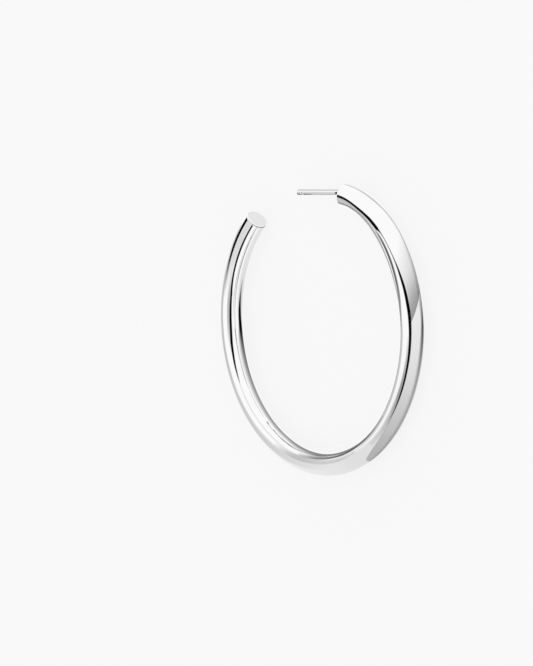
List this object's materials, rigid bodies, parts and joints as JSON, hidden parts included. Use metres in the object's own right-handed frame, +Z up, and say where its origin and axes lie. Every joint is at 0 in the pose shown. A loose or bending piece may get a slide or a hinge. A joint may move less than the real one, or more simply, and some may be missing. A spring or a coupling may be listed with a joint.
{
  "type": "hoop earring",
  "caption": "Open round hoop earring of polished silver tube, with flat closed ends and a straight grooved ear post soldered to one of them. It lies on its side.",
  "frame": {"origin": "middle of the underside of the earring's box, on the surface that it lies on", "axes": "+Z up, square to the hoop's plane; +X along the hoop's full diameter, away from the free end and opposite to the way the post points; +Y towards the hoop's opening"},
  "size_m": [0.04, 0.0384, 0.003],
  "materials": {
    "silver": "mirror-polished silver"
  },
  "bodies": {
    "root": {"hoop_with_post": "silver"}
  },
  "joints": []
}
